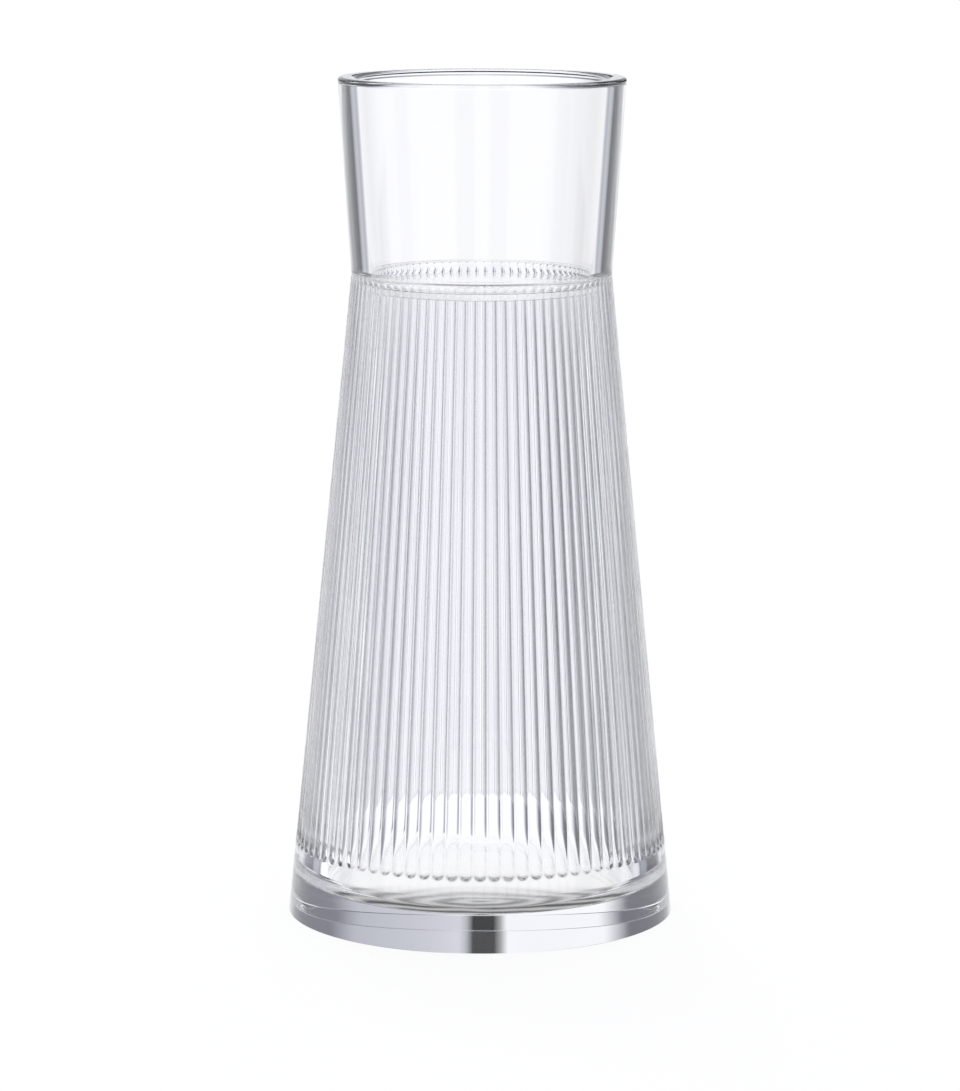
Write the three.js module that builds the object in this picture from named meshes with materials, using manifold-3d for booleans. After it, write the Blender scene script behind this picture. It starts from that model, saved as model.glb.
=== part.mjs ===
// Fluted glass carafe with a clear tumbler standing in its mouth.
// Millimetres, +Z up. The origin is the centre of the carafe's resting face.

import * as THREE from 'three';
import { mergeVertices } from 'three/addons/utils/BufferGeometryUtils.js';
import Module from 'manifold-3d';

const wasm = await Module();
wasm.setup();

// Carafe body
const CARAFE_HEIGHT = 200;
const BASE_RADIUS = 60;
const WAIST_RADIUS = 40.1;
const BASE_EDGE_RADIUS = 1.6;
const FLOOR_THICKNESS = 8.5;
const FLOOR_CORNER_RADIUS = 6;
const FOOT_WALL = 10.5;
const MOUTH_WALL = 3.2;
const MOUTH_EDGE_RADIUS = 0.8;

// Flutes, ground round-ended into the outside of the body
const FLUTE_COUNT = 84;
const FLUTE_FOOT_HEIGHT = 22;
const FLUTE_TOP_MARGIN = 0.9;
const FLUTE_DEPTH = 0.45;
const RIDGE_LAND = 0.35;

// Tumbler
const BOWL_HEIGHT = 59.7;
const LIP_RADIUS = 44.2;
const LIP_OUTER_ROUNDING = 0.9;
const LIP_INNER_ROUNDING = 2;
const PLUG_DEPTH = 5.5;
const PLUG_DRAFT = 0.4;
const PLUG_WALL = 2.1;
const PLUG_FLOOR = 2;
const PLUG_FOOT_ROUNDING = 1.2;
const PLUG_ROOT_FILLET = 0.4;
const CAVITY_CORNER_RADIUS = 2;

// Seam between the two glasses
const SEAT_GAP = 0.3;
const MOUTH_CLEARANCE = 0.5;
const SEAM_EDGE_RADIUS = 0.4;

// Fineness of the facets
const BODY_SIDES = FLUTE_COUNT;
const TUMBLER_SIDES = 96;
const CUTTER_SIDES = 12;
const CUTTER_END_STEPS = 4;
const ARC_TOLERANCE = 0.06;
const MERGE_DISTANCE = 1e-4;

const glass = (name) => new THREE.MeshStandardMaterial({
  name,
  color: 0xf3f4f8,
  roughness: 0.03,
  metalness: 0,
  transparent: true,
  opacity: 0.35,
});

// Outer radius of the body's cone at a height
const bodyRadius = (z) => THREE.MathUtils.lerp(BASE_RADIUS, WAIST_RADIUS, z / CARAFE_HEIGHT);

// Points of the arc that rounds the corner at b, between the edges to a and c
function cornerArc(a, b, c, radius) {
  const toA = new THREE.Vector2().subVectors(a, b);
  const toC = new THREE.Vector2().subVectors(c, b);
  const half = Math.abs(toA.angleTo(toC)) / 2;
  const longest = Math.min(toA.length(), toC.length()) / 2;
  const tangent = Math.min(radius / Math.tan(half), longest);
  const start = toA.setLength(tangent).add(b);
  const end = toC.setLength(tangent).add(b);
  const middle = start.clone().add(end).multiplyScalar(0.5);
  const centre = middle.sub(b).setLength(tangent / Math.cos(half)).add(b);
  const from = start.clone().sub(centre);
  const to = end.clone().sub(centre);
  const turn = Math.atan2(from.cross(to), from.dot(to));
  const widestStep = 2 * Math.acos(1 - Math.min(ARC_TOLERANCE / from.length(), 1));
  const steps = Math.ceil(Math.abs(turn) / widestStep);
  return Array.from({ length: steps + 1 }, (_, i) => (
    start.clone().rotateAround(centre, (turn * i) / steps)
  ));
}

// Revolves a half section about Z. Each corner is [radius, height, rounding].
function revolve(corners, sides) {
  const points = corners.map(([radius, height]) => new THREE.Vector2(radius, height));
  const section = corners.flatMap(([, , rounding], i) => (
    rounding ? cornerArc(points[i - 1], points[i], points[i + 1], rounding) : [points[i]]
  ));
  return new THREE.LatheGeometry(section, sides).rotateX(Math.PI / 2);
}

// Closed solid of a geometry, with its seams joined and its empty triangles left out
function toSolid(geometry) {
  const bare = geometry.clone();
  bare.deleteAttribute('normal');
  bare.deleteAttribute('uv');
  const joined = mergeVertices(bare, MERGE_DISTANCE);
  const corners = joined.index.array;
  const triVerts = [];
  for (let i = 0; i < corners.length; i += 3) {
    const [a, b, c] = corners.slice(i, i + 3);
    if (a !== b && b !== c && c !== a) {
      triVerts.push(a, b, c);
    }
  }
  return new wasm.Manifold(new wasm.Mesh({
    numProp: 3,
    vertProperties: joined.attributes.position.array,
    triVerts: Uint32Array.from(triVerts),
  }));
}

function toGeometry(solid) {
  const { vertProperties, triVerts } = solid.getMesh();
  const geometry = new THREE.BufferGeometry();
  geometry.setAttribute('position', new THREE.BufferAttribute(vertProperties, 3));
  geometry.setIndex(new THREE.BufferAttribute(triVerts, 1));
  geometry.computeVertexNormals();
  return geometry;
}

// Round-ended conical bar that grinds one flute, on the +X side of the body.
// Its width, depth and radius shrink with the body's cone, so the ridges stay even.
function fluteCutter() {
  const footPitch = (2 * Math.PI * bodyRadius(FLUTE_FOOT_HEIGHT)) / FLUTE_COUNT;
  const footHalfWidth = (footPitch - RIDGE_LAND) / 2;
  const footRadius = (footHalfWidth ** 2 + FLUTE_DEPTH ** 2) / (2 * FLUTE_DEPTH);
  const topTip = CARAFE_HEIGHT - FLUTE_TOP_MARGIN;
  const shrink = bodyRadius(topTip) / bodyRadius(FLUTE_FOOT_HEIGHT);
  const lean = Math.atan2(BASE_RADIUS - WAIST_RADIUS, CARAFE_HEIGHT);

  const centreAt = (z, scale) => {
    const standOff = (footRadius - FLUTE_DEPTH) * scale;
    return new THREE.Vector2(
      bodyRadius(z) + standOff * Math.cos(lean),
      z + standOff * Math.sin(lean),
    );
  };
  const foot = centreAt(FLUTE_FOOT_HEIGHT + footHalfWidth, 1);
  const top = centreAt(topTip - footHalfWidth * shrink, shrink);

  const section = new THREE.Path();
  section.absarc(0, 0, footRadius, -Math.PI / 2, 0);
  section.absarc(0, foot.distanceTo(top), footRadius * shrink, 0, Math.PI / 2);
  const halfSide = Math.PI / CUTTER_SIDES;
  const bar = new THREE.LatheGeometry(section.getPoints(CUTTER_END_STEPS), CUTTER_SIDES, halfSide);
  bar.rotateX(Math.PI / 2);
  bar.rotateY(Math.atan2(top.x - foot.x, top.y - foot.y));
  bar.translate(foot.x, 0, foot.y);
  return bar;
}

function carafeGeometry() {
  const mouthRadius = WAIST_RADIUS - MOUTH_WALL;
  const floorRadius = bodyRadius(FLOOR_THICKNESS) - FOOT_WALL;
  let body = toSolid(revolve([
    [0, 0, 0],
    [BASE_RADIUS, 0, BASE_EDGE_RADIUS],
    [WAIST_RADIUS, CARAFE_HEIGHT, SEAM_EDGE_RADIUS],
    [mouthRadius, CARAFE_HEIGHT, MOUTH_EDGE_RADIUS],
    [floorRadius, FLOOR_THICKNESS, FLOOR_CORNER_RADIUS],
    [0, FLOOR_THICKNESS, 0],
  ], BODY_SIDES));

  const cutter = fluteCutter();
  for (let i = 0; i < FLUTE_COUNT; i += 1) {
    const turned = cutter.clone().rotateZ((2 * Math.PI * i) / FLUTE_COUNT);
    body = body.subtract(toSolid(turned));
  }
  return toGeometry(body);
}

// Tumbler in its own frame, with its shoulder at height 0.
// Its inside runs straight from lip to floor, so the bowl's wall is the plug's wall and the shoulder's step.
function tumblerGeometry() {
  const shoulderStep = MOUTH_WALL + MOUTH_CLEARANCE;
  const plugRadius = WAIST_RADIUS - shoulderStep;
  const bowlWall = PLUG_WALL + shoulderStep;
  const floorHeight = PLUG_FLOOR - PLUG_DEPTH;
  const insideRadius = (z) => THREE.MathUtils.lerp(WAIST_RADIUS, LIP_RADIUS, z / BOWL_HEIGHT) - bowlWall;
  return revolve([
    [0, -PLUG_DEPTH, 0],
    [plugRadius - PLUG_DRAFT, -PLUG_DEPTH, PLUG_FOOT_ROUNDING],
    [plugRadius, 0, PLUG_ROOT_FILLET],
    [WAIST_RADIUS, 0, SEAM_EDGE_RADIUS],
    [LIP_RADIUS, BOWL_HEIGHT, LIP_OUTER_ROUNDING],
    [insideRadius(BOWL_HEIGHT), BOWL_HEIGHT, LIP_INNER_ROUNDING],
    [insideRadius(floorHeight), floorHeight, CAVITY_CORNER_RADIUS],
    [0, floorHeight, 0],
  ], TUMBLER_SIDES);
}

const carafe = new THREE.Mesh(carafeGeometry(), glass('carafe glass'));
carafe.name = 'carafe';

const tumbler = new THREE.Mesh(tumblerGeometry(), glass('tumbler glass'));
tumbler.name = 'tumbler';
tumbler.position.z = CARAFE_HEIGHT + SEAT_GAP;

const carafeWithTumbler = new THREE.Group();
carafeWithTumbler.add(carafe, tumbler);

export default carafeWithTumbler;
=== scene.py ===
"""Dresses a fluted glass carafe and the clear tumbler that stands in its mouth.

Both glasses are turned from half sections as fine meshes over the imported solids. Sizes are in
millimetres in the classes and become metres in the meshes. The studio is a white table in a white
tent with grey panels, which draw the dark lines in the clear glass.
"""
import logging
import math
from abc import ABC, abstractmethod
from dataclasses import dataclass
from enum import Enum
from typing import Any, Callable

import bpy
import numpy as np
from mathutils import Matrix, Vector


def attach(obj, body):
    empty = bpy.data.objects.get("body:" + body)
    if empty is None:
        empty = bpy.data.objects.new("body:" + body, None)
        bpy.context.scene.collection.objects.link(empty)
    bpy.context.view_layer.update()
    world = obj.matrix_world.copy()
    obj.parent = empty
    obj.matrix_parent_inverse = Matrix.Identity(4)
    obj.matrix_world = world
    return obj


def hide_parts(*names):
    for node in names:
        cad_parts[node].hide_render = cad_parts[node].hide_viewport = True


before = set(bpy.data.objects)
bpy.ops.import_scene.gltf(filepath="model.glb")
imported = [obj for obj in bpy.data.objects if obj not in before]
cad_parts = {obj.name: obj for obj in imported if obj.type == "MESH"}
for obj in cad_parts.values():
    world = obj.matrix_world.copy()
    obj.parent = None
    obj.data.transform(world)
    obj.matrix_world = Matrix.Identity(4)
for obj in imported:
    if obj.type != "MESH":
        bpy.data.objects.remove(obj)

LOG = logging.getLogger("carafe")
MM = 0.001
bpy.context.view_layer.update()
WHITE = (1.0, 1.0, 1.0, 1.0)
FULL_TURN = 360

# Waves to a unit of length that Blender's wave texture draws at a scale of 1.
WAVE_RATE = 20 / (2 * math.pi)

# Socket numbers of Blender's mix node when it mixes colours.
MIX_SHARE = 0
MIX_FROM = 6
MIX_TO = 7
MIX_RESULT = 2

Relief = Callable[[np.ndarray, np.ndarray, np.ndarray], np.ndarray]


class Glass(Enum):
    """The two glasses, each with its solid's node, the body it rides on and its finish's slot."""

    CARAFE = ("carafe", "carafe_body", "carafe_glass")
    TUMBLER = ("tumbler", "tumbler_body", "tumbler_glass")

    @property
    def node(self) -> str:
        """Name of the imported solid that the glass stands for."""
        return self.value[0]

    @property
    def body(self) -> str:
        """Name of the moving body that carries the glass."""
        return self.value[1]

    @property
    def slot(self) -> str:
        """Name of the record's material slot."""
        return self.value[2]


def linear(hex_colour: str) -> tuple[float, float, float, float]:
    """Turns an sRGB hex colour into linear light.

    Args:
        hex_colour: Colour as "#RRGGBB".

    Returns:
        Red, green, blue and a full alpha.
    """
    shares = [int(hex_colour[i:i + 2], 16) / 255 for i in (1, 3, 5)]
    light = [s / 12.92 if s <= 0.04045 else ((s + 0.055) / 1.055) ** 2.4 for s in shares]
    return (*light, 1.0)


def add_node(
    tree: bpy.types.NodeTree,
    kind: str,
    settings: dict[str, Any] | None = None,
    sockets: dict[str | int, Any] | None = None,
    links: dict[str | int, bpy.types.NodeSocket] | None = None,
) -> bpy.types.Node:
    """Adds one shader node with its settings, socket values and incoming links.

    Args:
        tree: Node tree that takes the node.
        kind: Blender's type name of the node.
        settings: Properties of the node itself.
        sockets: Values of input sockets by name or number.
        links: Output sockets to link to input sockets by name or number.

    Returns:
        The new node.
    """
    node = tree.nodes.new(kind)
    for name, value in (settings or {}).items():
        setattr(node, name, value)
    for name, value in (sockets or {}).items():
        node.inputs[name].default_value = value
    for name, source in (links or {}).items():
        tree.links.new(source, node.inputs[name])
    return node


@dataclass(frozen=True)
class Crystal:
    """Clear lead-free crystal, fire-polished after it was pressed or blown."""

    name: str
    tint: str = "#FEFEFF"
    ior: float = 1.52
    ripple_length: float = 14.0
    ripple_detail: float = 1.0
    ripple_height: float = 0.002
    film_length: float = 30.0
    film_detail: float = 3.0
    film_start: float = 0.4
    film_full: float = 0.7
    film_roughness: float = 0.002

    def material(self) -> bpy.types.Material:
        """Makes the glass material.

        Returns:
            The material, whose shader goes straight to the output.
        """
        material = bpy.data.materials.new(self.name)
        material.use_nodes = True
        tree = material.node_tree
        tree.nodes.clear()
        place = add_node(tree, "ShaderNodeTexCoord").outputs["Object"]

        # Fire polish leaves long shallow waves, so that lines seen through the wall waver a little.
        ripple = add_node(
            tree, "ShaderNodeTexNoise",
            sockets={"Scale": 1 / (self.ripple_length * MM), "Detail": self.ripple_detail},
            links={"Vector": place},
        )
        waves = add_node(
            tree, "ShaderNodeBump",
            sockets={"Strength": 1.0, "Distance": self.ripple_height * MM},
            links={"Height": ripple.outputs["Fac"]},
        )

        # A wiped glass keeps a faint film in patches, which softens its gloss unevenly.
        film = add_node(
            tree, "ShaderNodeTexNoise",
            sockets={"Scale": 1 / (self.film_length * MM), "Detail": self.film_detail},
            links={"Vector": place},
        )
        gloss = add_node(
            tree, "ShaderNodeMapRange",
            sockets={
                "From Min": self.film_start,
                "From Max": self.film_full,
                "To Max": self.film_roughness,
            },
            links={"Value": film.outputs["Fac"]},
        )

        shader = add_node(
            tree, "ShaderNodeBsdfPrincipled",
            sockets={"Base Color": linear(self.tint), "IOR": self.ior, "Transmission Weight": 1.0},
            links={"Roughness": gloss.outputs["Result"], "Normal": waves.outputs["Normal"]},
        )
        add_node(tree, "ShaderNodeOutputMaterial", links={"Surface": shader.outputs["BSDF"]})
        return material


@dataclass(frozen=True)
class Corner:
    """One corner of a half section, in millimetres, with the rounding made there."""

    radius: float
    height: float
    rounding: float = 0.0

    @property
    def point(self) -> np.ndarray:
        """Radius and height as a vector."""
        return np.array([self.radius, self.height])


@dataclass(frozen=True)
class HalfSection:
    """Half section of a turned glass, from the axis underneath, out, up, in and back to the axis."""

    corners: tuple[Corner, ...]
    arc_step: float = math.radians(9)
    fewest_arc_steps: int = 4
    guard: float = 0.25
    shortest_guarded_edge: float = 1.0

    def outline(self) -> np.ndarray:
        """Works out the section's points, with arcs at the corners and guard points beside them.

        Returns:
            Radius and height of each point, in order.
        """
        points = [self.corners[0].point]
        for before, here, after in zip(self.corners, self.corners[1:], self.corners[2:]):
            points += self._arc(before.point, here.point, after.point, here.rounding)
        points.append(self.corners[-1].point)
        guarded = [points[0]]
        for start, end in zip(points, points[1:]):
            run = end - start
            length = float(np.hypot(*run))
            if length > self.shortest_guarded_edge:
                step = run * self.guard / length
                guarded += [start + step, end - step]
            guarded.append(end)
        return np.array(guarded)

    def _arc(self, a: np.ndarray, b: np.ndarray, c: np.ndarray, rounding: float) -> list[np.ndarray]:
        """Rounds the corner at b between the edges to a and c.

        Args:
            a: Corner before.
            b: Corner to round.
            c: Corner after.
            rounding: Radius of the rounding, or 0 for a sharp corner.

        Returns:
            Points of the arc, or the corner itself.
        """
        if not rounding:
            return [b]
        to_a = (a - b) / np.hypot(*(a - b))
        to_c = (c - b) / np.hypot(*(c - b))
        half = math.acos(float(np.clip(to_a @ to_c, -1, 1))) / 2
        tangent = rounding / math.tan(half)
        centre = b + (to_a + to_c) / np.hypot(*(to_a + to_c)) * rounding / math.sin(half)
        start = b + to_a * tangent - centre
        end = b + to_c * tangent - centre
        sweep = math.atan2(start[0] * end[1] - start[1] * end[0], float(start @ end))
        steps = max(self.fewest_arc_steps, math.ceil(abs(sweep) / self.arc_step))
        angles = [sweep * i / steps for i in range(steps + 1)]
        return [
            centre + np.array([
                start[0] * math.cos(t) - start[1] * math.sin(t),
                start[0] * math.sin(t) + start[1] * math.cos(t),
            ])
            for t in angles
        ]


def turn(name: str, outline: np.ndarray, columns: int, relief: Relief | None = None) -> bpy.types.Object:
    """Turns a half section about Z into one closed mesh.

    Args:
        name: Name of the new object.
        outline: Radius and height of each point in millimetres, from the axis back to the axis.
        columns: Number of columns around.
        relief: Depth to take off at each angle, radius and height, if the surface is cut.

    Returns:
        The object, smooth-shaded and linked to the scene.
    """
    rings = outline[1:-1]
    angle = (np.arange(columns) * 2 * math.pi / columns - math.pi / 2)[None, :]
    radius, height = rings[:, :1], rings[:, 1:]
    depth = relief(angle, radius, height) if relief else 0.0
    across = radius - depth + 0 * angle
    points = np.stack([across * np.cos(angle), across * np.sin(angle), height + 0 * angle], axis=-1)
    poles = np.array([[0, 0, outline[0, 1]], [0, 0, outline[-1, 1]]])
    vertices = np.vstack([points.reshape(-1, 3), poles]) * MM

    row, column = np.meshgrid(np.arange(len(rings) - 1), np.arange(columns), indexing="ij")
    following = (column + 1) % columns
    quads = np.stack([
        row * columns + column,
        row * columns + following,
        (row + 1) * columns + following,
        (row + 1) * columns + column,
    ], axis=-1).reshape(-1, 4).tolist()
    bottom, top = len(rings) * columns, len(rings) * columns + 1
    last = (len(rings) - 1) * columns
    caps = [[bottom, (i + 1) % columns, i] for i in range(columns)]
    caps += [[top, last + i, last + (i + 1) % columns] for i in range(columns)]

    mesh = bpy.data.meshes.new(name)
    mesh.from_pydata(vertices.tolist(), [], quads + caps)
    mesh.shade_smooth()
    piece = bpy.data.objects.new(name, mesh)
    bpy.context.scene.collection.objects.link(piece)
    return piece


@dataclass(frozen=True)
class TurnedGlass(ABC):
    """One glass of the set, with its place in the frame and its finish."""

    glass: Glass
    finish: Crystal

    @abstractmethod
    def build(self) -> bpy.types.Object:
        """Makes the glass's mesh."""

    def dress(self, piece: bpy.types.Object) -> None:
        """Gives the glass its finish, ties it to its body and hides the solid that it stands for.

        Args:
            piece: Mesh of the glass.
        """
        piece.data.materials.append(self.finish.material())
        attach(piece, self.glass.body)
        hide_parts(self.glass.node)
        LOG.info("%s: %d faces, rides on %s", piece.name, len(piece.data.polygons), self.glass.body)


@dataclass(frozen=True)
class Carafe(TurnedGlass):
    """Tapering body on a thick clear foot, with round-ended flutes ground into its outside."""

    height: float = 200.0
    base_radius: float = 60.0
    waist_radius: float = 40.1
    base_edge: float = 0.1
    floor_thickness: float = 8.5
    floor_corner: float = 6.0
    foot_wall: float = 10.5
    mouth_wall: float = 3.2
    mouth_edge: float = 0.8
    seam_edge: float = 0.4
    flute_count: int = 84
    flute_foot: float = 22.0
    flute_top_margin: float = 0.9
    flute_depth: float = 0.45
    flute_fullness: float = 1.5
    ridge_drop: float = 0.1
    ridge_softness: float = 0.25
    end_stretch: float = 1.2
    end_overrun: float = 0.5
    end_rows: int = 16
    columns_per_flute: int = 12
    wall_tolerance: float = 1e-6

    def wall_radius(self, height: np.ndarray | float) -> np.ndarray | float:
        """Radius of the uncut outer cone at a height."""
        return self.base_radius + (self.waist_radius - self.base_radius) * height / self.height

    def half_pitch(self, height: np.ndarray | float) -> np.ndarray | float:
        """Half the width of one flute at a height."""
        return math.pi * self.wall_radius(height) / self.flute_count

    def end_length(self, tip: float) -> float:
        """Length of a flute's round end whose tip is at a height."""
        return self.half_pitch(tip) * self.end_stretch

    @property
    def flute_top(self) -> float:
        """Height of the flutes' upper tips."""
        return self.height - self.flute_top_margin

    def section(self) -> HalfSection:
        """Lays out the half section, with rows of points over the flutes' round ends.

        Returns:
            The half section.
        """
        share = np.linspace(-self.end_overrun, 1.0, self.end_rows)
        rows = np.concatenate([
            self.flute_foot + self.end_length(self.flute_foot) * share,
            (self.flute_top - self.end_length(self.flute_top) * share)[::-1],
        ])
        floor_radius = self.wall_radius(self.floor_thickness) - self.foot_wall
        return HalfSection((
            Corner(0, 0),
            Corner(self.base_radius, 0, self.base_edge),
            *(Corner(self.wall_radius(z), z) for z in rows),
            Corner(self.waist_radius, self.height, self.seam_edge),
            Corner(self.waist_radius - self.mouth_wall, self.height, self.mouth_edge),
            Corner(floor_radius, self.floor_thickness, self.floor_corner),
            Corner(0, self.floor_thickness),
        ))

    def flute_depth_at(self, angle: np.ndarray, radius: np.ndarray, height: np.ndarray) -> np.ndarray:
        """Depth ground off the outer wall. Flutes are shallow hollows with rounded ends and ridges.

        Args:
            angle: Angle of each column.
            radius: Radius of each ring of points before grinding.
            height: Height of each ring.

        Returns:
            Depth for each ring and column, 0 away from the outer wall.
        """
        pitch_angle = 2 * math.pi / self.flute_count
        turned = (angle + math.pi / 2) / pitch_angle
        across = 2 * (turned - np.round(turned))
        foot_end = self.end_length(self.flute_foot)
        top_end = self.end_length(self.flute_top)
        below = np.maximum(self.flute_foot + foot_end - height, 0) / foot_end
        above = np.maximum(height - self.flute_top + top_end, 0) / top_end
        inside = 1 - (across ** 2 + below ** 2 + above ** 2) ** self.flute_fullness
        soft = np.sqrt(inside ** 2 + self.ridge_softness ** 2)
        hollow = self.flute_depth * (inside + soft) / 2 + self.ridge_drop * (1 + inside / soft) / 2
        on_wall = np.abs(radius - self.wall_radius(height)) < self.wall_tolerance
        return np.where(on_wall, hollow * radius / self.base_radius, 0.0)

    def build(self) -> bpy.types.Object:
        """Makes the carafe's mesh."""
        columns = self.flute_count * self.columns_per_flute
        return turn("carafe_glass", self.section().outline(), columns, self.flute_depth_at)


@dataclass(frozen=True)
class Tumbler(TurnedGlass):
    """Clear flared glass whose stepped foot plugs the carafe's mouth."""

    shoulder_height: float = 200.3
    waist_radius: float = 40.1
    bowl_height: float = 59.7
    lip_radius: float = 44.2
    lip_outer_rounding: float = 0.9
    lip_inner_rounding: float = 2.0
    bowl_wall: float = 5.8
    seam_edge: float = 0.4
    plug_radius: float = 36.4
    plug_depth: float = 5.5
    plug_draft: float = 0.4
    plug_floor: float = 2.0
    plug_foot_rounding: float = 1.2
    plug_root_fillet: float = 0.4
    cavity_corner: float = 2.0
    columns: int = 256

    def inside_radius(self, height: float) -> float:
        """Radius of the straight inner wall at a height above the shoulder."""
        flare = (self.lip_radius - self.waist_radius) / self.bowl_height
        return self.waist_radius + flare * height - self.bowl_wall

    def section(self) -> HalfSection:
        """Lays out the half section at the glass's place in the carafe's mouth.

        Returns:
            The half section.
        """
        seat = self.shoulder_height
        floor = self.plug_floor - self.plug_depth
        corners = (
            Corner(0, -self.plug_depth),
            Corner(self.plug_radius - self.plug_draft, -self.plug_depth, self.plug_foot_rounding),
            Corner(self.plug_radius, 0, self.plug_root_fillet),
            Corner(self.waist_radius, 0, self.seam_edge),
            Corner(self.lip_radius, self.bowl_height, self.lip_outer_rounding),
            Corner(self.inside_radius(self.bowl_height), self.bowl_height, self.lip_inner_rounding),
            Corner(self.inside_radius(floor), floor, self.cavity_corner),
            Corner(0, floor),
        )
        return HalfSection(tuple(Corner(c.radius, c.height + seat, c.rounding) for c in corners))

    def build(self) -> bpy.types.Object:
        """Makes the tumbler's mesh."""
        return turn("tumbler_glass", self.section().outline(), self.columns)


@dataclass(frozen=True)
class Tone:
    """One stop of the tent's shading: an angle to the right of straight behind, and its brightness."""

    angle: float
    light: float


@dataclass(frozen=True)
class Layer:
    """One part of the tent, laid over those before it from one angle above the horizon to another.

    Without a colour it is white. Without a kind of light it is met by all light.
    """

    start: float
    full: float
    colour: bpy.types.NodeSocket | None = None
    light: bpy.types.Node | None = None
    cover: float = 1.0


@dataclass(frozen=True)
class Studio:
    """White table in a round tent, whose grey panels and cloths show only in the glass."""

    bounces: int = 32
    glossy_bounces: int = 16

    # The table, and the patch of it under the glass, which glows with painted shade and painted caustic
    # light.
    table_reach: float = 4000.0
    table_drop: float = 0.1
    table_glow: float = 0.93
    table_shade: str = "#D0D0D2"
    patch_radius: float = 58.0
    patch_sides: int = 96
    painted_light_behind: float = 0.95
    patch_blend: float = 16.0
    ring_length: float = 8.0
    ring_middle: float = -28.0
    ring_stretch: float = 1.4
    ring_dark: float = 0.06
    ring_light: float = 0.5
    ring_waver: float = 4.0
    ring_waver_detail: float = 2.0
    ring_waver_scale: float = 1.2

    # The tent's light on matt surfaces, and its colour where it is pale and where it is dark.
    ambience: float = 0.4
    pale_tint: str = "#FAFBFF"
    dark_tint: str = "#E2E7FF"

    # Tones around the tent, from left to right. Those of rim and surround are the same on both sides.
    panels: tuple[Tone, ...] = (
        Tone(-180, 1.25),
        Tone(-48, 1.25),
        Tone(-45, 0.35),
        Tone(-43, 0.55),
        Tone(-36, 0.5),
        Tone(-34, 0.2),
        Tone(-21, 0.25),
        Tone(-17, 0.55),
        Tone(-13, 0.85),
        Tone(-10, 1.05),
        Tone(-5, 1.1),
        Tone(5, 1.1),
        Tone(8, 0.72),
        Tone(11, 0.4),
        Tone(14, 0.15),
        Tone(18, 0.05),
        Tone(34, 0.05),
        Tone(36, 0.3),
        Tone(43, 0.38),
        Tone(45, 0.25),
        Tone(48, 0.85),
        Tone(180, 0.9),
    )
    rim: tuple[Tone, ...] = (
        Tone(0, 0.8),
        Tone(3, 0.5),
        Tone(9, 0.12),
        Tone(33, 0.06),
        Tone(36, 0.48),
        Tone(41, 0.66),
        Tone(44, 0.5),
        Tone(47, 0.65),
        Tone(50, 1.05),
        Tone(180, 1.0),
    )
    surround: tuple[Tone, ...] = (
        Tone(68, 1.0),
        Tone(71, 0.3),
        Tone(81, 0.3),
        Tone(85, 1.0),
        Tone(95, 1.0),
        Tone(99, 0.3),
        Tone(109, 0.3),
        Tone(112, 1.0),
        Tone(154, 1.0),
        Tone(157, 0.3),
        Tone(171, 0.3),
        Tone(175, 1.0),
        Tone(180, 1.0),
    )
    cloth: tuple[Tone, ...] = (
        Tone(-180, 0.35),
        Tone(-60, 0.12),
        Tone(-40, 0.16),
        Tone(-30, 1.0),
        Tone(-4.6, 0.98),
        Tone(-4, 0.01),
        Tone(2.4, 0.01),
        Tone(3, 0.72),
        Tone(14, 0.64),
        Tone(30, 0.55),
        Tone(40, 0.22),
        Tone(60, 0.14),
        Tone(180, 0.35),
    )
    surround_start: float = 60.0
    surround_full: float = 64.0

    # Angles above the horizon where the tent's parts begin and end, from the table up.
    table_edge: float = -46.0
    panel_foot: float = -40.0
    skirting_foot: float = -28.0
    skirting_head: float = -19.3
    rim_foot: float = -9.2
    panel_head: float = -8.4
    gap_foot: float = -7.4
    rim_head: float = -4.3
    cloth_hem: float = 3.0
    cloth_full: float = 6.0
    edge_blur: float = 0.5
    gap_paleness: float = 0.8

    # Light has crossed both walls of a glass once it has passed more faces than this.
    faces_of_one_wall: float = 3.5

    def build(self) -> None:
        """Sets up the table, the tent and the way light is counted."""
        self._table()
        self._tent()
        scene = bpy.context.scene
        scene.view_settings.view_transform = "Standard"
        scene.cycles.max_bounces = self.bounces
        scene.cycles.transmission_bounces = self.bounces
        scene.cycles.glossy_bounces = self.glossy_bounces
        scene.cycles.caustics_reflective = False
        scene.cycles.caustics_refractive = False

    def _table(self) -> None:
        """Lays the white table, and under the glass a round patch of painted shade and painted caustic
        light, which shows through the foot.
        """
        reach = self.table_reach
        square = [(x * reach, y * reach) for x, y in ((-1, -1), (1, -1), (1, 1), (-1, 1))]
        table = self._flat("table", square, -self.table_drop, self._white())
        table.visible_transmission = False
        turns = [2 * math.pi * i / self.patch_sides for i in range(self.patch_sides)]
        ring = [(self.patch_radius * math.cos(t), self.patch_radius * math.sin(t)) for t in turns]
        self._flat("table_patch_painted_shade_and_caustics", ring, -self.table_drop / 2, self._painted_shade_and_caustics())

    def _white(self) -> bpy.types.Material:
        """Makes the table's white, which glows to stay pale and is matt to keep the glass's shadow.

        Returns:
            The material.
        """
        material = bpy.data.materials.new("white_table")
        material.use_nodes = True
        tree = material.node_tree
        tree.nodes.clear()
        matt = add_node(tree, "ShaderNodeBsdfDiffuse", sockets={"Color": linear(self.table_shade)})
        own = add_node(tree, "ShaderNodeEmission", sockets={"Strength": self.table_glow})
        both = add_node(
            tree, "ShaderNodeAddShader",
            links={0: matt.outputs["BSDF"], 1: own.outputs["Emission"]},
        )
        add_node(tree, "ShaderNodeOutputMaterial", links={"Surface": both.outputs["Shader"]})
        return material

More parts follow.
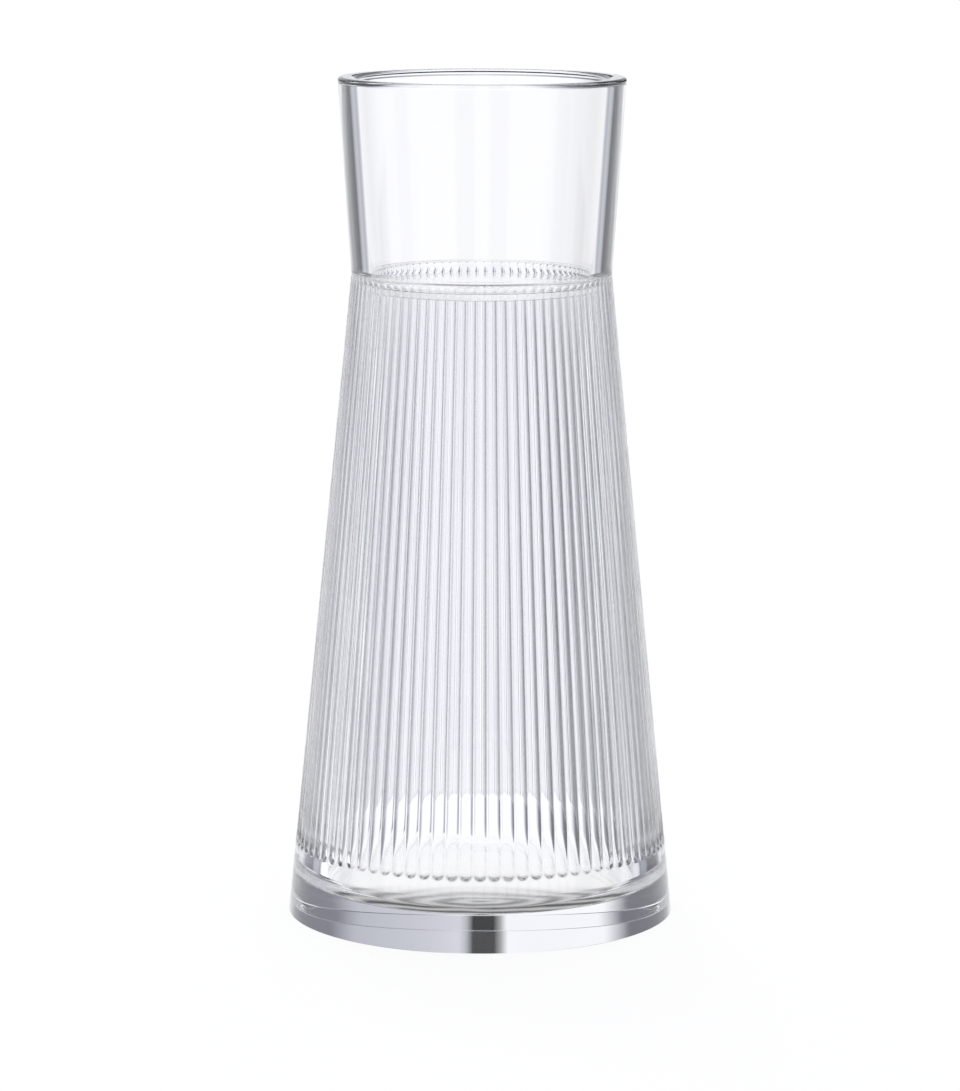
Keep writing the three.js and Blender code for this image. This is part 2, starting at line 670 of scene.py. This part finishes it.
    def _painted_shade_and_caustics(self) -> bpy.types.Material:
        """Makes the patch under the glass, which glows with painted light: pale at the back, where light
        comes through from behind, and painted shade in front with painted rings of caustic light.

        Returns:
            The material.
        """
        material = bpy.data.materials.new("table_patch_painted_shade_and_caustics")
        material.use_nodes = True
        tree = material.node_tree
        tree.nodes.clear()
        place = add_node(tree, "ShaderNodeTexCoord").outputs["Object"]
        part = add_node(tree, "ShaderNodeSeparateXYZ", links={"Vector": place})

        # The foot gathers light into wavering rings, drawn here because it isn't traced through glass.
        centred = add_node(
            tree, "ShaderNodeMapping", {"vector_type": "TEXTURE"},
            sockets={"Location": (0, self.ring_middle * MM, 0), "Scale": (self.ring_stretch, 1, 1)},
            links={"Vector": place},
        )
        rings = add_node(
            tree, "ShaderNodeTexWave", {"wave_type": "RINGS", "rings_direction": "Z"},
            sockets={
                "Scale": 1 / (WAVE_RATE * self.ring_length * MM),
                "Distortion": self.ring_waver,
                "Detail": self.ring_waver_detail,
                "Detail Scale": self.ring_waver_scale,
            },
            links={"Vector": centred.outputs["Vector"]},
        )
        front = add_node(
            tree, "ShaderNodeMapRange",
            sockets={"To Min": self.ring_dark, "To Max": self.ring_light},
            links={"Value": rings.outputs["Fac"]},
        )
        # Painted light and shade: behind the axis the patch glows nearly white, as if lit from behind
        # through the glass, and in front it turns into painted shadow with the painted rings.
        painted_light_and_shade = add_node(
            tree, "ShaderNodeMapRange", {"interpolation_type": "SMOOTHSTEP"},
            sockets={"From Min": -self.patch_blend * MM, "From Max": 0.0, "To Max": self.painted_light_behind},
            links={"Value": part.outputs["Y"], "To Min": front.outputs["Result"]},
        )
        own = add_node(tree, "ShaderNodeEmission", links={"Strength": painted_light_and_shade.outputs["Result"]})
        add_node(tree, "ShaderNodeOutputMaterial", links={"Surface": own.outputs["Emission"]})
        return material

    def _flat(
        self, name: str, outline: list[tuple[float, float]], height: float, material: bpy.types.Material,
    ) -> bpy.types.Object:
        """Lays one flat face of the set.

        Args:
            name: Name of the object.
            outline: Its corners in millimetres.
            height: Its height in millimetres.
            material: Its material.

        Returns:
            The object, linked to the scene.
        """
        mesh = bpy.data.meshes.new(name)
        mesh.from_pydata([(x * MM, y * MM, height * MM) for x, y in outline], [], [range(len(outline))])
        mesh.materials.append(material)
        flat = bpy.data.objects.new(name, mesh)
        bpy.context.scene.collection.objects.link(flat)
        return flat

    def _shade(self, light: float) -> tuple[float, float, float, float]:
        """Colour of the tent at a brightness. Its darker parts are bluer.

        Args:
            light: Brightness, where 1 is white.

        Returns:
            Linear colour.
        """
        paleness = min(light, 1.0)
        pairs = zip(linear(self.dark_tint), linear(self.pale_tint))
        red, green, blue, _ = (light * (dark + (pale - dark) * paleness) for dark, pale in pairs)
        return red, green, blue, 1.0

    def _around(self, tree: bpy.types.NodeTree, way: bpy.types.Node) -> tuple[bpy.types.NodeSocket, ...]:
        """Paints the tones that run around the tent.

        Args:
            tree: Node tree of the tent.
            way: Node that gives the direction's X, Y and Z.

        Returns:
            Colours of the panels, the cloth and the rim in that direction.
        """
        # The angle from straight behind the glass, then as a share of the way around.
        angle = add_node(
            tree, "ShaderNodeMath", {"operation": "ARCTAN2"},
            links={0: way.outputs["X"], 1: way.outputs["Y"]},
        )
        around = add_node(
            tree, "ShaderNodeMapRange",
            sockets={"From Min": -math.pi, "From Max": math.pi},
            links={"Value": angle.outputs["Value"]},
        )
        both_sides = [
            tuple(Tone(-tone.angle, tone.light) for tone in reversed(tones)) + tones
            for tones in (self.rim, self.surround)
        ]
        colours = []
        for tones in (self.panels, self.cloth, *both_sides):
            ramp = add_node(tree, "ShaderNodeValToRGB", links={"Fac": around.outputs["Result"]})
            stops = ramp.color_ramp.elements
            for tone in tones[1:-1]:
                stops.new(0.5 + tone.angle / FULL_TURN)
            for stop, tone in zip(stops, tones):
                stop.color = self._shade(tone.light)
            colours.append(ramp.outputs["Color"])
        ahead, cloth, rim, surround = colours

        # Other panels stand at the sides and in front, so that the glass has its lines from there too.
        aside = add_node(
            tree, "ShaderNodeMath", {"operation": "ABSOLUTE"},
            links={0: angle.outputs["Value"]},
        )
        beyond = add_node(
            tree, "ShaderNodeMapRange",
            sockets={
                "From Min": math.radians(self.surround_start),
                "From Max": math.radians(self.surround_full),
            },
            links={"Value": aside.outputs["Value"]},
        )
        panels = add_node(
            tree, "ShaderNodeMix", {"data_type": "RGBA"},
            links={MIX_SHARE: beyond.outputs["Result"], MIX_FROM: ahead, MIX_TO: surround},
        )
        return panels.outputs[MIX_RESULT], cloth, rim

    def _stacked(
        self, tree: bpy.types.NodeTree, way: bpy.types.Node, path: bpy.types.Node,
    ) -> bpy.types.NodeSocket:
        """Stacks the tent's parts from the table up.

        Args:
            tree: Node tree of the tent.
            way: Node that gives the direction's X, Y and Z.
            path: Node that tells what the light has passed.

        Returns:
            Colour of the tent in that direction.
        """
        panels, cloth, rim = self._around(tree, way)
        lift = add_node(tree, "ShaderNodeMath", {"operation": "ARCSINE"}, links={0: way.outputs["Z"]})
        faces = path.outputs["Transmission Depth"]
        through = add_node(
            tree, "ShaderNodeMath", {"operation": "GREATER_THAN"},
            sockets={1: self.faces_of_one_wall},
            links={0: faces},
        )
        within = add_node(
            tree, "ShaderNodeMath", {"operation": "LESS_THAN"},
            sockets={1: self.faces_of_one_wall},
            links={0: faces},
        )

        # Panels stand behind a rim, a skirting and a cloth, which only light off a glass or through one
        # wall meets. They draw the dark lines in the walls and the foot. Light through both walls meets
        # a pale gap above the panels instead. Below them all is white.
        blur = self.edge_blur
        shade = panels
        for layer in (
            Layer(self.rim_foot - blur, self.rim_foot, rim, within),
            Layer(self.rim_head, self.rim_head + blur, panels),
            Layer(self.skirting_head + blur, self.skirting_head, cloth, within),
            Layer(self.skirting_foot, self.skirting_foot - blur, panels),
            Layer(self.panel_head, self.gap_foot, light=through, cover=self.gap_paleness),
            Layer(self.cloth_hem, self.cloth_full, cloth, within),
            Layer(self.panel_foot, self.table_edge),
        ):
            share = add_node(
                tree, "ShaderNodeMapRange", {"interpolation_type": "SMOOTHSTEP"},
                sockets={
                    "From Min": math.radians(layer.start),
                    "From Max": math.radians(layer.full),
                    "To Max": layer.cover,
                },
                links={"Value": lift.outputs["Value"]},
            ).outputs["Result"]
            if layer.light is not None:
                share = add_node(
                    tree, "ShaderNodeMath", {"operation": "MULTIPLY"},
                    links={0: share, 1: layer.light.outputs["Value"]},
                ).outputs["Value"]
            links = {MIX_SHARE: share, MIX_FROM: shade}
            if layer.colour is not None:
                links[MIX_TO] = layer.colour
            mix = add_node(tree, "ShaderNodeMix", {"data_type": "RGBA"}, {MIX_TO: WHITE}, links)
            shade = mix.outputs[MIX_RESULT]
        return shade

    def _tent(self) -> None:
        """Makes the tent, plain white to the camera and an even soft light on matt surfaces."""
        world = bpy.data.worlds.new("white_tent")
        bpy.context.scene.world = world
        world.use_nodes = True
        tree = world.node_tree
        tree.nodes.clear()
        direction = add_node(tree, "ShaderNodeTexCoord").outputs["Generated"]
        way = add_node(tree, "ShaderNodeSeparateXYZ", links={"Vector": direction})
        path = add_node(tree, "ShaderNodeLightPath")
        seen = add_node(
            tree, "ShaderNodeMix", {"data_type": "RGBA"},
            sockets={MIX_TO: WHITE},
            links={MIX_SHARE: path.outputs["Is Camera Ray"], MIX_FROM: self._stacked(tree, way, path)},
        )
        level = add_node(
            tree, "ShaderNodeMapRange",
            sockets={"To Min": 1.0, "To Max": self.ambience},
            links={"Value": path.outputs["Is Diffuse Ray"]},
        )
        sky = add_node(
            tree, "ShaderNodeBackground",
            links={"Color": seen.outputs[MIX_RESULT], "Strength": level.outputs["Result"]},
        )
        add_node(tree, "ShaderNodeOutputWorld", links={"Surface": sky.outputs["Background"]})


@dataclass(frozen=True)
class PhotoCamera:
    """Camera at the photograph's viewing angle, with its optical axis through the frame's middle."""

    frame_width: int = 960
    frame_height: int = 1091
    focal_length_px: float = 4475.0
    sensor: float = 36.0
    distance: float = 1371.0
    height: float = 341.0
    pitch: float = 9.365
    roll: float = 0.15
    aside_px: float = 1.0

    def build(self) -> bpy.types.Object:
        """Sets up the camera.

        Returns:
            The camera object.
        """
        data = bpy.data.cameras.new("photo_camera")
        data.sensor_width = self.sensor
        data.lens = self.focal_length_px / max(self.frame_width, self.frame_height) * self.sensor
        camera = bpy.data.objects.new("photo_camera", data)
        aside = math.atan2(self.aside_px, self.focal_length_px)
        facing = Matrix.Rotation(aside, 4, "Z") @ Matrix.Rotation(math.radians(90 - self.pitch), 4, "X")
        camera.matrix_world = (
            Matrix.Translation(Vector((0, -self.distance, self.height)) * MM)
            @ facing
            @ Matrix.Rotation(math.radians(self.roll), 4, "Z")
        )
        bpy.context.scene.collection.objects.link(camera)
        bpy.context.scene.camera = camera
        return camera


def main() -> None:
    """Builds the camera, the studio and the two glasses."""
    logging.basicConfig(level=logging.INFO, format="%(name)s: %(message)s")
    PhotoCamera().build()
    Studio().build()
    for glass in (
        Carafe(Glass.CARAFE, Crystal("crystal_pressed_with_ground_flutes")),
        Tumbler(Glass.TUMBLER, Crystal("crystal_blown_and_fire_polished")),
    ):
        glass.dress(glass.build())


if __name__ == "__main__":
    main()
